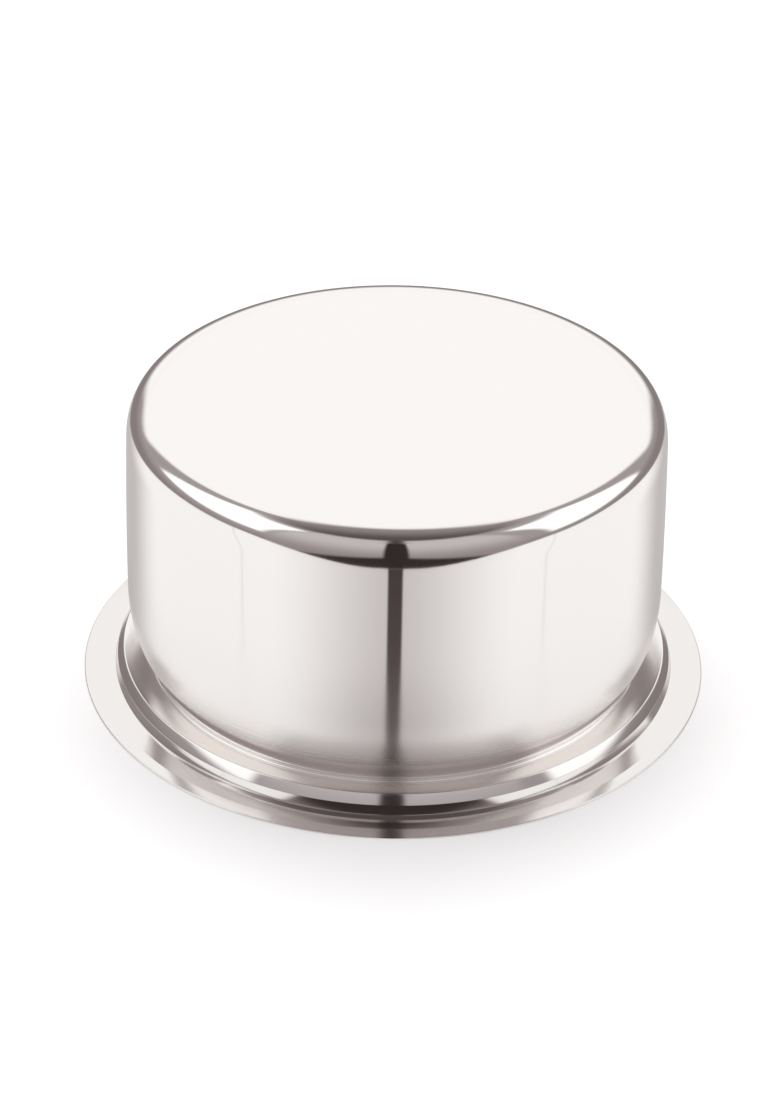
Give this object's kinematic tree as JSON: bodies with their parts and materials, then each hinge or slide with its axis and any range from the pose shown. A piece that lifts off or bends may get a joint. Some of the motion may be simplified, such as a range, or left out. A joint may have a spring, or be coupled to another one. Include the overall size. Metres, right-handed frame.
{
  "type": "cooking pot",
  "caption": "Handle-less polished steel cooking pot with a drawn-in neck, a ridge round the neck, a flared rim and a bonded flat base, stored upside down on its rim.",
  "frame": {"origin": "centre of the circle that the rim stands on, the pot lying upside down", "axes": "+Z along the axis of the pot from its mouth to its base; the pot is round, so X and Y are free"},
  "size_m": [0.212, 0.212, 0.102],
  "materials": {
    "polished_steel": "mirror-polished stainless steel, spun satin inside",
    "spreader_aluminium": "plain rolled, hidden inside the base",
    "cap_steel": "mirror-polished magnetic stainless steel"
  },
  "bodies": {
    "root": {"pot_body": "polished_steel", "heat_spreader": "spreader_aluminium", "base_cap": "cap_steel"}
  },
  "joints": []
}
